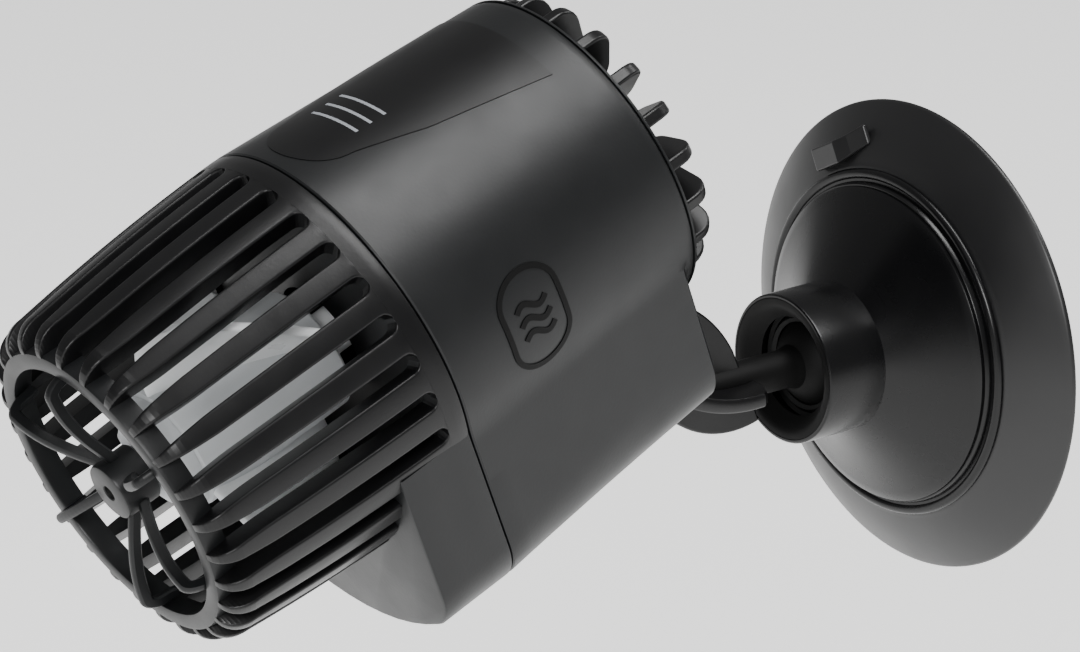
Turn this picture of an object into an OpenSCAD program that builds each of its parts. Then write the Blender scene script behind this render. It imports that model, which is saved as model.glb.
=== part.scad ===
// Wave maker pump: a slotted guard and propeller on a sealed motor, carried by a ball
// swivel on a suction cup. The origin is the centre of the cup's sealing face, +Y points
// into the wall and +Z is up. Pump pieces are drawn in the pump's own frame, with -Y
// forward along the motor axis and the seam between guard and housing at y = 0.

/* [Body] */
// Outer radius of the body at the seam
seam_r = 29; // [27:0.5:31]
// Outer radius of the housing at its rear rim
rim_r = 25.7; // [25:0.1:27]
// Length of the motor housing, from the seam to the rear rim
housing_len = 46.3; // [45:0.1:50]
// Length of the guard, from the seam to its front ring
guard_len = 41.6; // [41:0.1:44]
// Depth of the keel below the motor axis
keel_depth = 42.5; // [41:0.5:44]
// Length of the chin, the part of the keel that the guard carries
chin_len = 12.8; // [11:0.1:14]

/* [Guard] */
// Number of slots around the guard
slot_count = 28; // [24:2:30]
// Width of one slot
slot_w = 2.85; // [2.4:0.05:3.2]
// Outer radius of the front ring
ring_r = 23.3; // [23:0.1:24]
// Number of spokes that carry the front bearing
spoke_count = 6; // [4:1:8]
// Width of one spoke
spoke_w = 1.4; // [1.2:0.1:2]

/* [Propeller] */
// Number of blades
blade_count = 3; // [2:1:4]
// Radius of the blade tips
blade_r = 21.4; // [18:0.1:22]
// Radius of the propeller's hub
hub_r = 9.5; // [9:0.5:10.5]
// Radius of the motor shaft
shaft_r = 1.1; // [1:0.05:1.2]

/* [Rear] */
// Number of cooling fins on the rear cap
fin_count = 20; // [16:2:22]
// Thickness of one fin
fin_t = 2; // [1.5:0.1:2.2]
// Radius of the hole for the cord
cord_r = 2.6; // [2.2:0.1:3]

/* [Swivel] */
// Tilt of the motor axis below the cup's axis, in degrees
pump_tilt = 23; // [15:1:28]
// Radius of the ball
ball_r = 7.6; // [7:0.1:7.6]
// Radius of the neck behind the ball
neck_r = 3; // [2.6:0.1:3]
// Distance of the ball's centre from the wall
ball_y = 18; // [17.5:0.1:18.5]

/* [Suction base] */
// Radius of the suction cup
cup_r = 37; // [34:0.5:40]
// Radius of the hard cone's edge
cone_r = 24.75; // [24:0.25:25]
// Radius of the boss that holds the ball
boss_r = 11.7; // [11.7:0.1:12.5]
// Distance of the boss's front face from the wall
boss_front = 26.6; // [26.4:0.1:27]

/* [Hidden] */
$fn = 96;

// the ball's place in the pump's frame
stem_back = 74;
stem_drop = 58;
// the stem's foot and the far end of its ribs
stem_foot = 45.8;
stem_end = 58.6;
// length of the neck, which lies along the cup's axis
neck_len = 25.5;

// height of the suction cup's back above its sealing face
cup_top = 6;

// running gap between the ball and its shells, and the shells' thickness
shell_gap = 0.3;
shell_t = 0.7;
shell_r1 = ball_r + shell_gap;
shell_r2 = shell_r1 + shell_t;
pad_r1 = shell_r2 + shell_gap;
pad_r2 = pad_r1 + shell_t;
seat_r = pad_r2 + shell_gap;

// inside of the pump
plate_r = 25.2;
well_r = 8.4;
cap_r = 24.3;
cap_y = 45.3;
fin_r0 = 13;
cavity_r = 23;
hub_rear = 5;
hub_front = 31;
blade_rear = 8;
blade_front = 30.5;
slot_pitch = 360 / slot_count;
fin_pitch = 360 / fin_count;
slot_end = 3.4;
// the slots are wider at the ring, where the ribs run out
slot_front = 4;
// open seam between the guard and the housing
seam_gap = 0.15;

// outer radius of the guard at the distance f in front of the seam
function guard_r(f) = seam_r - 0.0072 * f - 0.00146 * f * f;
// a spoke's front edge, as its height in front of the ring's front plane at the radius r
arch_top = 2.6;
arch_low = -1.9;
arch_r = 0.78 * ring_r;
spoke_r0 = 3.9;
function arch(r) = arch_low + (arch_top - arch_low) * sin(90 * (r - spoke_r0) / (arch_r - spoke_r0));

// turns a shape drawn around +Z so that it lies around the motor axis, with its +Z to the rear
module to_axis(y = 0) {
    translate([0, y, 0])
        rotate([-90, 0, 0])
            children();
}

// a cylinder around the motor axis from y0 to y1
module bar(r, y0, y1) {
    to_axis(y0)
        cylinder(r = r, h = y1 - y0);
}

// carries a shape from the pump's frame to its place on the wall
module pump_pose() {
    translate([0, -ball_y, 0])
        rotate([pump_tilt, 0, 0])
            translate([0, -stem_back, stem_drop])
                children();
}

// a solid of revolution around the motor axis, from points [radius, y]
module lathe(points) {
    to_axis()
        rotate_extrude()
            polygon(points);
}

// outline of the keel across the motor axis, drawn with +Y up
module keel_outline(half_top, half_low, corner_r, depth) {
    hull() {
        for (side = [-1, 1]) {
            translate([side * (half_low - corner_r), -depth + corner_r + 4])
                circle(r = corner_r, $fn = 48);
            translate([side * (half_top - 1), -1])
                circle(r = 1, $fn = 16);
        }
        translate([0, -depth + 14])
            circle(r = 14, $fn = 64);
    }
}

// one flat slice of the keel at y, as thick as the small step t
module keel_slice(y, t, half_top, half_low, corner_r, depth = keel_depth) {
    translate([0, y + t, 0])
        rotate([90, 0, 0])
            linear_extrude(t)
                keel_outline(half_top, half_low, corner_r, depth);
}

module guard_slot(angle, rear) {
    rotate([0, angle, 0])
        translate([0, -rear - slot_w / 2, 0]) {
            translate([0, 0, 15])
                linear_extrude(20)
                    polygon([[-slot_w / 2, 0], [slot_w / 2, 0], [slot_w / 2, rear - 33], [slot_front / 2, rear - 42],
                             [-slot_front / 2, rear - 42], [-slot_w / 2, rear - 33]]);
            translate([0, 0, 15])
                cylinder(d = slot_w, h = 20, $fn = 32);
        }
}

module guard_cage() {
    barrel = [for (f = [6:6:36]) [guard_r(f), -f]];
    nose = [for (t = [0:15:90]) [ring_r + 0.1 + (guard_r(37) - ring_r - 0.1) * cos(t), -37 - 4.4 * sin(t)]];
    color("#2b2d30")
        pump_pose()
            difference() {
                union() {
                    lathe(concat([[20, -seam_gap], [seam_r, -seam_gap]], barrel, nose, [[20, -41.4]]));
                    keel_slice(-chin_len, chin_len - seam_gap, seam_r - 0.8, 25.6, 9);
                }
                lathe([[0, 1], [25.6, 1], [25.6, -9], [ring_r, -37], [ring_r, -42], [0, -42]]);
                keel_slice(-chin_len + 2.2, chin_len, 20, 23.2, 7, keel_depth - 2.2);
                for (k = [0:slot_count - 1]) {
                    angle = k * slot_pitch;
                    below = abs(angle - 180) < 70;
                    guard_slot(angle, below ? chin_len + 0.1 : slot_end);
                }
            }
}

// side view of a spoke, drawn in [height, radius]: an arch that turns down into the ring
module spoke_side() {
    depth = 2;
    foot = -2;
    rise = arch_top - foot;
    run = 2.43;
    steps = [for (i = [0:12]) spoke_r0 + (arch_r - spoke_r0) * i / 12];
    polygon(concat(
        [for (r = steps) [-arch(r), r]],
        [for (t = [10:10:80]) [-foot - rise * cos(t), arch_r + run * sin(t)]],
        [[1.8, 21.4], [3.2, 21.4], [3.2, arch_r + run - 1.7]],
        [for (t = [90:-10:10]) [-foot - (rise - depth) * cos(t), arch_r + (run - 1.7) * sin(t)]],
        [for (i = [12:-1:0]) [-arch(steps[i]) + depth, steps[i]]]));
}

module ring_body() {
    lathe([[0.88 * ring_r, -guard_len], [ring_r, -guard_len], [ring_r, -38], [0.88 * ring_r + 0.6, -38]]);
}

module front_ring() {
    color("#66696d")
        pump_pose()
            ring_body();
}

module guard_spider() {
    color("#5d6064")
        pump_pose()
            difference() {
                union() {
                    bar(4.4, -guard_len, -35.6);
                    for (k = [0:spoke_count - 1])
                        rotate([0, k * 360 / spoke_count, 0])
                            translate([-spoke_w / 2, -guard_len, 0])
                                rotate([90, 0, 90])
                                    linear_extrude(spoke_w)
                                        spoke_side();
                }
                ring_body();
                bar(1.25, -guard_len - 1, -35);
                bar(2.4, -40.4, -35);
            }
}

module front_bush() {
    color("#d8d2c4")
        pump_pose()
            difference() {
                bar(2.4, -40.4, -35.9);
                bar(shaft_r + 0.05, -41, -35);
            }
}

module dog(r0, r1, y0, y1, from, to) {
    to_axis(y0)
        linear_extrude(y1 - y0)
            difference() {
                polygon(concat([[0, 0]], [for (t = [from:(to - from) / 8:to]) 1.3 * r1 * [cos(t), sin(t)]]));
                circle(r = r0);
                difference() {
                    circle(r = 2 * r1);
                    circle(r = r1);
                }
            }
}

module propeller() {
    color("#dfe2e4")
        pump_pose()
            difference() {
                union() {
                    difference() {
                        bar(hub_r, -hub_front, -hub_rear);
                        bar(6.8, -11, -hub_rear + 1);
                    }
                    dog(3.7, 7.2, -11, -7, 190, 290);
                    to_axis(-blade_front)
                        linear_extrude(blade_front - blade_rear, twist = -54, slices = 10, $fn = 8)
                            for (k = [0:blade_count - 1])
                                rotate(k * 360 / blade_count + 30)
                                    translate([hub_r - 0.6, -0.8])
                                        square([blade_r - hub_r + 0.6, 1.6]);
                }
                bar(shaft_r + 0.1, -hub_front - 1, 0);
            }
}

module prop_nose() {
    color("#c9ccce")
        pump_pose()
            lathe([[shaft_r + 0.1, -hub_front],
                   for (t = [0:15:75]) [hub_r - 0.5 - 5.5 * (1 - cos(t)), -hub_front - 3.9 * sin(t)],
                   [shaft_r + 0.1, -hub_front - 3.9]]);
}

module rotor_magnet() {
    color("#3a3a3c")
        pump_pose()
            difference() {
                bar(7.4, 9, 31);
                bar(2.6, 8, 32);
            }
}

module rotor_sleeve() {
    color("#e8e6df")
        pump_pose() {
            difference() {
                union() {
                    bar(2.6, 5, 33);
                    bar(7.4, 6.4, 9);
                    bar(3.4, -10.5, 6.4);
                    dog(2.8, 6.4, -10.5, -7.4, 10, 90);
                }
                bar(shaft_r + 0.1, -12, 34);
            }
        }
}

module shaft() {
    color("#f0f0ee")
        pump_pose()
            bar(shaft_r, -40.6, 37);
}

module rear_bush() {
    color("#d8d2c4")
        pump_pose()
            difference() {
                bar(3.6, 34, 37);
                bar(shaft_r, 33, 38);
            }
}

module rotor_can() {
    color("#7d8185")
        pump_pose()
            difference() {
                union() {
                    bar(9, 3, 38);
                    bar(13.6, 3, 4.4);
                }
                bar(well_r, 2, 34);
                bar(3.6, 33, 37);
            }
}

module o_ring() {
    color("#101010")
        pump_pose()
            to_axis(2.15)
                rotate_extrude()
                    translate([11.2, 0])
                        circle(r = 0.85, $fn = 32);
}

module front_plate() {
    color("#26282b")
        pump_pose()
            difference() {
                bar(plate_r, -2.5, 3);
                bar(well_r, -3, 4);
                to_axis(1.3)
                    difference() {
                        cylinder(r = 12.1, h = 2);
                        translate([0, 0, -1])
                            cylinder(r = 10.3, h = 4);
                    }
            }
}

module motor_housing() {
    color("#3c3e41")
        pump_pose()
            difference() {
                union() {
                    lathe([[20, 0], [seam_r, 0], [rim_r, housing_len], [20, housing_len]]);
                    hull() {
                        keel_slice(0.1, 0.2, seam_r - 0.8, 25.6, 9);
                        keel_slice(43, 0.2, rim_r - 1.2, 21.5, 9);
                        keel_slice(45.6, 0.2, 19, 17, 8);
                    }
                }
                bar(plate_r + 0.1, -1, 3);
                bar(cavity_r, -1, 42.6);
                bar(cap_r + 0.1, 42.5, housing_len + 1);
                translate([-15, 3, -36])
                    cube([30, 38, 20]);
                label_recess();
                badge_recess(1);
                badge_recess(-1);
                stem_bolts(1.1, 42, 49);
            }
}

// outline of the label, long along the motor axis and wider at the rear
module label_outline(grow) {
    rear = 39.5 + grow;
    polygon(concat(
        [for (t = [0:15:180]) [(8.4 + grow) * cos(t), 9 - (6.6 + grow) * sin(t)]],
        [[-11.8 - grow, 20], [-15 - grow, rear], [15 + grow, rear], [11.8 + grow, 20]]));
}

// a curved plate of the label's outline, from the depth r0 to the depth r1 below the housing's surface
module label_shell(r0, r1, grow) {
    slope = (seam_r - rim_r) / housing_len;
    intersection() {
        lathe([[seam_r - r0, 0], [seam_r - r1, 0], [seam_r - r1 - slope * 45, 45], [seam_r - r0 - slope * 45, 45]]);
        translate([0, 0, 15])
            linear_extrude(20)
                label_outline(grow);
    }
}

module label_recess() {
    label_shell(0.55, -1, 0.1);
}

module label_panel() {
    color("#1b1d20")
        pump_pose()
            label_shell(0.55, 0.25, 0);
}

// a capsule-shaped badge on each flank of the housing
badge_y = 16;
badge_z = 0;
module badge_outline(grow) {
    for (side = [-1, 1])
        translate([side * 3.5, 0])
            circle(r = 4.6 + grow, $fn = 48);
    square([7, 2 * (4.6 + grow)], center = true);
}

module badge_recess(side) {
    translate([side * 31, badge_y, badge_z])
        rotate([0, -90 * side, 0])
            linear_extrude(4.2)
                rotate(90)
                    badge_outline(0.1);
}

module badge_piece(side) {
    color("#1b1d20")
        pump_pose()
            translate([side * 27.5, badge_y, badge_z])
                rotate([0, -90 * side, 0])
                    difference() {
                        linear_extrude(0.7)
                            rotate(90)
                                badge_outline(0);
                        for (row = [-1, 0, 1])
                            translate([row * 2.4, 0, -0.01])
                                cube([0.7, 8, 0.8], center = true);
                    }
}

module badge_right() {
    badge_piece(1);
}

module badge_left() {
    badge_piece(-1);
}

module stator_core() {
    color("#8c8f93")
        pump_pose()
            difference() {
                union() {
                    difference() {
                        bar(cavity_r - 0.05, 9.5, 32.5);
                        bar(18.6, 9, 33);
                    }
                    for (k = [0:5])
                        rotate([0, 60 * k, 0])
                            translate([-2, 9.5, 9.4])
                                cube([4, 23, 10]);
                }
                bar(9.3, 9, 33);
            }
}

module windings() {
    color("#b06a35")
        pump_pose()
            for (k = [0:5])
                rotate([0, 60 * k, 0])
                    difference() {
                        translate([-4.1, 7.5, 11.3])
                            cube([8.2, 27, 6.1]);
                        translate([-2.1, 9.4, 11])
                            cube([4.2, 23.2, 7]);
                    }
}

module cradle_bolts(r, y0, y1) {
    for (k = [0:2])
        rotate([0, 60 + 120 * k, 0])
            translate([0, 0, 9.6])
                bar(r, y0, y1);
}

module stator_cradle() {
    color("#2b2d30")
        pump_pose()
            difference() {
                union() {
                    bar(cavity_r - 0.05, 36, 38.6);
                    cradle_bolts(3.2, 38, 42.4);
                }
                bar(9.1, 35, 38);
                cradle_bolts(1.1, 38.2, 43);
            }
}

module fin(angle) {
    tip = 52.3;
    outer = 23.8;
    round_r = 2.2;
    rotate([0, angle, 0])
        translate([-fin_t / 2, 0, 0])
            rotate([90, 0, 90])
                linear_extrude(fin_t)
                    union() {
                        translate([cap_y - 0.5, fin_r0])
                            square([tip - cap_y + 0.5 - round_r, outer - fin_r0]);
                        translate([cap_y - 0.5, fin_r0 + round_r])
                            square([tip - cap_y + 0.5, outer - fin_r0 - 2 * round_r]);
                        for (r = [fin_r0 + round_r, outer - round_r])
                            translate([tip - round_r, r])
                                circle(r = round_r, $fn = 32);
                    }
}

module rear_cap() {
    color("#34363a")
        pump_pose()
            difference() {
                union() {
                    bar(cap_r, 42.6, cap_y);
                    bar(6, 42.6, 49.5);
                    for (k = [0:fin_count - 1])
                        fin((k + 0.5) * fin_pitch);
                }
                bar(4.1, 42, 51);
                cradle_bolts(1.4, 42, 46);
            }
}

module cap_screws() {
    color("#b9bcc0")
        pump_pose()
            difference() {
                union() {
                    cradle_bolts(1.1, 39.4, cap_y + 0.1);
                    cradle_bolts(2, cap_y, cap_y + 1.5);
                }
                for (k = [0:2])
                    rotate([0, 60 + 120 * k, 0])
                        for (turn = [0, 90])
                            translate([0, cap_y + 1.3, 9.6])
                                rotate([0, turn, 0])
                                    cube([2.4, 1, 0.6], center = true);
            }
}

module cord_gland() {
    color("#141414")
        pump_pose()
            difference() {
                union() {
                    bar(4.05, 42.7, 51);
                    bar(5.2, 49.6, 51);
                }
                bar(cord_r, 42, 52);
            }
}

// the two screws that hold the stem's foot to the keel
module stem_bolts(r, y0, y1) {
    for (side = [-1, 1])
        translate([side * 5.5, 0, -32])
            bar(r, y0, y1);
}

// side view of the upright rib, drawn in [y, z]: round on top and below, with a toe under the keel
module stem_side() {
    intersection() {
        union() {
            translate([36, -47.5])
                circle(r = 22.7);
            translate([stem_foot, -70])
                square([stem_end - stem_foot, 22.5]);
        }
        translate([60.5, -41.3])
            circle(r = 17.6);
        union() {
            translate([stem_foot, -70])
                square([stem_end - stem_foot, 60]);
            translate([stem_foot - 6, -70])
                square([6, 70 - keel_depth]);
        }
    }
}

// the curved cross rib, half_w wide on each side
module cross_rib(half_w, t) {
    intersection() {
        translate([-half_w, 66, -25.9])
            rotate([0, 90, 0])
                difference() {
                    cylinder(r = 27 + t / 2, h = 2 * half_w);
                    translate([0, 0, -1])
                        cylinder(r = 27 - t / 2, h = 2 * half_w + 2);
                }
        translate([-half_w, stem_foot, -60])
            cube([2 * half_w, stem_end - stem_foot, 30]);
        translate([0, 44.5, -60])
            cylinder(r = 15.2, h = 40);
    }
}

module swivel_stem() {
    color("#2e3033")
        pump_pose()
            difference() {
                union() {
                    translate([-9, stem_foot, -39])
                        cube([18, 2, 13]);
                    translate([-1.3, 0, 0])
                        rotate([90, 0, 90])
                            linear_extrude(2.6)
                                stem_side();
                    cross_rib(8, 2.2);
                    translate([0, stem_back, -stem_drop])
                        rotate([-pump_tilt, 0, 0]) {
                            bar(neck_r, -neck_len, 0);
                            sphere(r = ball_r);
                        }
                }
                stem_bolts(1.4, 42, 49);
            }
}

module stem_screws() {
    color("#b9bcc0")
        pump_pose()
            difference() {
                union() {
                    stem_bolts(1.1, 42, 48);
                    stem_bolts(2.2, 47.8, 49.4);
                }
                for (side = [-1, 1])
                    for (turn = [0, 90])
                        translate([side * 5.5, 49.2, -32])
                            rotate([0, turn, 0])
                                cube([2.8, 1, 0.6], center = true);
            }
}

// a shell around the ball, open to the front up to open_angle and to the rear from end_angle
module ball_shell(r1, r2, open_angle, end_angle) {
    translate([0, -ball_y, 0])
        rotate([90, 0, 0])
            rotate_extrude()
                difference() {
                    intersection() {
                        circle(r = r2, $fn = 128);
                        translate([0, -r2])
                            square([r2, 2 * r2]);
                    }
                    circle(r = r1, $fn = 128);
                    polygon([[0, 0], [0, 3 * r2], 3 * r2 * [sin(open_angle), cos(open_angle)]]);
                    polygon([[0, 0], [0, -3 * r2], 3 * r2 * [sin(end_angle), cos(end_angle)]]);
                }
}

module socket_shell() {
    color("#54575a")
        ball_shell(shell_r1, shell_r2, 56, 140);
}

module socket_pad() {
    color("#151515")
        ball_shell(pad_r1, pad_r2, 62, 152);
}

module clamp_ring() {
    color("#1c1d1f")
        translate([0, -boss_front, 0])
            rotate([-90, 0, 0])
                difference() {
                    cylinder(r = boss_r - 0.6, h = 4);
                    translate([0, 0, boss_front - ball_y])
                        sphere(r = seat_r, $fn = 128);
                    translate([0, 0, -0.01])
                        rotate_extrude()
                            polygon([[0, 0], [8.9, 0], [7.7, 2.2], [7.7, 4.5], [0, 4.5]]);
                }
}

module suction_base() {
    color("#121314")
        rotate([90, 0, 0])
            difference() {
                rotate_extrude()
                    polygon([[0, cup_top], [cone_r, cup_top], [cone_r, 8], [18.5, 11.6], [14, 14], [boss_r, 16.6],
                             [boss_r, boss_front - 0.3], [boss_r - 0.3, boss_front], [0, boss_front]]);
                translate([0, 0, boss_front - 4])
                    cylinder(r = boss_r - 0.6, h = 5);
                translate([0, 0, ball_y])
                    cylinder(r = seat_r, h = 10);
                translate([0, 0, ball_y])
                    sphere(r = seat_r, $fn = 128);
            }
}

module cup_ring() {
    color("#101112")
        rotate([90, 0, 0])
            rotate_extrude()
                polygon([[cone_r + 0.05, cup_top], [27.3, cup_top], [27.3, 6.6], [26.9, 7], [26, 7], [25.8, 6.6],
                         [25.3, 6.6], [25.1, 7.6], [cone_r + 0.05, 7.6]]);
}

module suction_cup() {
    land = cup_r - 2.2;
    color("#0d0d0e")
        rotate([90, 0, 0]) {
            rotate_extrude()
                polygon([[0, 4.7], [16, 4.55], [24, 4], [30, 2.6], [land, 0], [cup_r, 0], [cup_r, 0.8],
                         [35, 2.9], [32, 4.9], [29, 5.8], [27.4, cup_top], [0, cup_top]]);
            // release tab, with its wedge
            rotate(118)
                translate([0, 0, 3.6])
                    linear_extrude(3.5)
                        polygon([[28.3, 3.2], [31.9, 3.2], [31.9, -3.2], [29.8, -8.6], [28.3, -8.6]]);
        }
}

guard_cage();
front_ring();
guard_spider();
front_bush();
propeller();
prop_nose();
rotor_magnet();
rotor_sleeve();
shaft();
rear_bush();
rotor_can();
o_ring();
front_plate();
motor_housing();
stator_core();
windings();
stator_cradle();
rear_cap();
cap_screws();
cord_gland();
label_panel();
badge_right();
badge_left();
swivel_stem();
stem_screws();
socket_pad();
socket_shell();
clamp_ring();
suction_base();
cup_ring();
suction_cup();
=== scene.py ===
import math

import bmesh
import bpy
from bpy.props import FloatProperty, FloatVectorProperty, IntProperty, PointerProperty
from mathutils import Matrix, Vector


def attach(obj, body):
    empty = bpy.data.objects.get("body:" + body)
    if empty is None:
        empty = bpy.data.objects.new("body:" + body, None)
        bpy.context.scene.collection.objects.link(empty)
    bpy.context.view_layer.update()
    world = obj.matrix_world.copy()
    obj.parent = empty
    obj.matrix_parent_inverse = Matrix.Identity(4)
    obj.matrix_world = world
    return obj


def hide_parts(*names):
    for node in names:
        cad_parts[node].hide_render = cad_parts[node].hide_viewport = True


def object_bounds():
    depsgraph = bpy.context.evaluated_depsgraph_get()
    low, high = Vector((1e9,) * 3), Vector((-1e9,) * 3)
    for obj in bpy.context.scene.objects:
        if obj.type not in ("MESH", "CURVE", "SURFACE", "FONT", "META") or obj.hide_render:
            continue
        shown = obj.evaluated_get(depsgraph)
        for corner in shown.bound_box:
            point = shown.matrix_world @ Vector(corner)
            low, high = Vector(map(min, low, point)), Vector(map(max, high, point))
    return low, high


bl_info = {
    "name": "Wave Maker Pump",
    "version": (1, 0, 0),
    "blender": (4, 5, 0),
    "location": "3D View > Sidebar > Wave Pump",
    "description": "Builds the visible pieces and finishes of a wave maker pump around its packed frame",
    "category": "Object",
}

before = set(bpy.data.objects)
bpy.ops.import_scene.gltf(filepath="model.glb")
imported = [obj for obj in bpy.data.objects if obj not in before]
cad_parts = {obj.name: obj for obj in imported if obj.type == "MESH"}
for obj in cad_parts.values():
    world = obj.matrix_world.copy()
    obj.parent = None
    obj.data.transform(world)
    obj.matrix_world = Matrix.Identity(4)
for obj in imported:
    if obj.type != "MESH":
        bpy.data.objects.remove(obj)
CAD_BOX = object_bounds()

# The pump's own frame, in millimetres: -Y forward along the motor axis, seam at y = 0.
PUMP = (
    Matrix.Translation((0, -0.018, 0))
    @ Matrix.Rotation(math.radians(23), 4, "X")
    @ Matrix.Translation((0, -0.074, 0.058))
    @ Matrix.Scale(0.001, 4)
)
# The wall's frame, in millimetres: the cup's sealing face lies on y = 0.
WALL = Matrix.Scale(0.001, 4)

# Sizes in millimetres that more than one piece shares.
SEAM_RADIUS = 29.0
BARREL_TAPER = 3.3
BARREL_LENGTH = 46.3
RING_FRONT = 41.6
RING_RADIUS = 23.3
BALL_Y = -18.0
BALL_RADIUS = 7.6

# The stage, in metres. The lens is in millimetres.
FLOOR_HALF_SIZE = 9.0
FLOOR_DROP = 0.16
PAPER_GLOW = 0.8
SKY_STRENGTH = 0.3
LIGHTS_AIM = Vector((0, -0.075, 0.01))
CAMERA_LENS = 171.4
CAMERA_PLACE = Vector((0.5657, -0.4958, 0.2701))
CAMERA_RIGHT = Vector((0.599, 0.8007, 0.0))
CAMERA_UP = Vector((-0.2702, 0.2021, 0.9413))
CAMERA_BACK = Vector((0.7537, -0.5639, 0.3375))

# Sizes of the slow patterns on a moulded surface, in millimetres.
CLOUD_MM = 24
HANDLING_MM = 7
# Sockets of the Mix node when it mixes colours.
MIX_FACTOR, MIX_A, MIX_B, MIX_RESULT = 0, 6, 7, 2


# ---------------------------------------------------------------- shaping helpers


def lathe(bm, points, steps=128, closed=False):
    """Spins a profile of (radius, y) points around the Y axis."""
    verts = [bm.verts.new((r, y, 0)) for r, y in points]
    pairs = list(zip(verts, verts[1:])) + ([(verts[-1], verts[0])] if closed else [])
    edges = [bm.edges.new(pair) for pair in pairs]
    bmesh.ops.spin(
        bm,
        geom=verts + edges,
        cent=(0, 0, 0),
        axis=(0, 1, 0),
        angle=2 * math.pi,
        steps=steps,
        use_merge=True,
    )
    bmesh.ops.remove_doubles(bm, verts=bm.verts, dist=1e-4)


def sweep(bm, sections):
    """Extrudes a face through sections that all have the same number of points."""
    face = bm.faces.new([bm.verts.new(p) for p in sections[0]])
    for section in sections[1:]:
        out = bmesh.ops.extrude_face_region(bm, geom=[face])["geom"]
        face = next(g for g in out if isinstance(g, bmesh.types.BMFace))
        for vert, place in zip(face.verts, section):
            vert.co = place


def loft(bm, count, loops):
    """Extrudes a circle of edges through loops, each a function from a turn (0 to 1) to a place."""
    turn = bm.verts.layers.float.new("turn")
    ring = bmesh.ops.create_circle(bm, segments=count, radius=1.0)["verts"]
    for index, vert in enumerate(ring):
        vert[turn] = index / count
    edges = list({edge for vert in ring for edge in vert.link_edges})
    first = list(edges)
    for index, loop in enumerate(loops):
        if index:
            out = bmesh.ops.extrude_edge_only(bm, edges=edges)["geom"]
            ring = [g for g in out if isinstance(g, bmesh.types.BMVert)]
            here = set(ring)
            edges = [
                g
                for g in out
                if isinstance(g, bmesh.types.BMEdge) and set(g.verts) <= here
            ]
        for vert in ring:
            vert.co = loop(vert[turn])
    bmesh.ops.contextual_create(bm, geom=first)
    bmesh.ops.contextual_create(bm, geom=edges)


def spin_copies(bm, count, phase=0.0):
    """Repeats everything around the motor axis, the first copy turned by phase degrees."""
    geom = bm.verts[:] + bm.edges[:] + bm.faces[:]
    bmesh.ops.rotate(
        bm,
        verts=bm.verts,
        cent=(0, 0, 0),
        matrix=Matrix.Rotation(math.radians(phase), 3, "Y"),
    )
    bmesh.ops.spin(
        bm,
        geom=geom,
        cent=(0, 0, 0),
        axis=(0, 1, 0),
        angle=2 * math.pi,
        steps=count,
        use_duplicate=True,
        use_merge=True,
    )
    bmesh.ops.remove_doubles(bm, verts=bm.verts, dist=1e-4)


def part(name, bm, place, body, material, replaces=(), crease=32, bevel=0.0):
    """Turns a bmesh into a finished piece that rides on its body."""
    bmesh.ops.remove_doubles(bm, verts=bm.verts, dist=1e-4)
    bmesh.ops.recalc_face_normals(bm, faces=bm.faces)
    bmesh.ops.transform(bm, matrix=place, verts=bm.verts)
    mesh = bpy.data.meshes.new(name)
    bm.to_mesh(mesh)
    bm.free()
    mesh.shade_smooth()
    mesh.set_sharp_from_angle(angle=math.radians(crease))
    mesh.materials.append(material)
    piece = bpy.data.objects.new(name, mesh)
    bpy.context.scene.collection.objects.link(piece)
    if bevel:
        rounding = piece.modifiers.new("rounded_edges", "BEVEL")
        rounding.width = bevel * 0.001
        rounding.segments = 3
        rounding.limit_method = "ANGLE"
        rounding.angle_limit = math.radians(40)
        rounding.harden_normals = True
    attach(piece, body)
    if replaces:
        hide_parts(*replaces)
    return piece


def box_in(bm, low, high):
    """A box between two corners."""
    made = bmesh.ops.create_cube(bm, size=1.0)["verts"]
    low, high = Vector(low), Vector(high)
    bmesh.ops.scale(bm, verts=made, vec=high - low)
    bmesh.ops.translate(bm, verts=made, vec=(low + high) / 2)


# ---------------------------------------------------------------- outlines of the pump


def barrel_radius(y):
    """Outer radius of the tapered barrel at y, in millimetres."""
    return SEAM_RADIUS - BARREL_TAPER * y / BARREL_LENGTH


def keel_discs(half_top, half_low, corner, depth):
    """The discs whose hull is the keel's outline, as (x, z, radius)."""
    shares = [step / 5 for step in range(-5, 6)]
    discs = [(s * (half_low - corner), -depth + corner + 4 * s * s, corner) for s in shares]
    return discs + [(side * (half_top - 1), -1, 1) for side in (-1, 1)]


def reach(discs, angle):
    """How far the hull of the discs reaches from the axis, at an angle from the top."""

    def limit(step):
        turn = angle + math.radians(step)
        far = max(x * math.sin(turn) + z * math.cos(turn) + r for x, z, r in discs)
        return far / math.cos(math.radians(step))

    best = min(range(-80, 81, 8), key=limit)
    # The search halves its stride, in degrees, down to a few hundredths.
    for stride in (4, 2, 1, 0.5, 0.25, 0.12, 0.06, 0.03):
        best = min((best - stride, best, best + stride), key=limit)
    return limit(best)


def soft_max(a, b, width):
    """The larger of two lengths, with the corner between them filled in."""
    overlap = max(width - abs(a - b), 0.0) / width
    return max(a, b) + overlap * overlap * width / 4


def around(radius, angle, y):
    """A point at an angle from the top of the motor axis."""
    return Vector((radius * math.sin(angle), y, radius * math.cos(angle)))


# The keel's outline at the seam, near the rear end and at the very end.
KEEL_FRONT = keel_discs(28.2, 25.6, 9, 42.5)
KEEL_MID = keel_discs(24.5, 21.5, 9, 42.5)
KEEL_REAR = keel_discs(19, 17, 8, 42.5)


# ---------------------------------------------------------------- materials
# Real moulded grain is about a tenth of a millimetre across. It is drawn several times coarser, to show.
# The plain IOR is lower than that of ABS, about 1.54, which keeps the pale studio's reflections dark.


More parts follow.
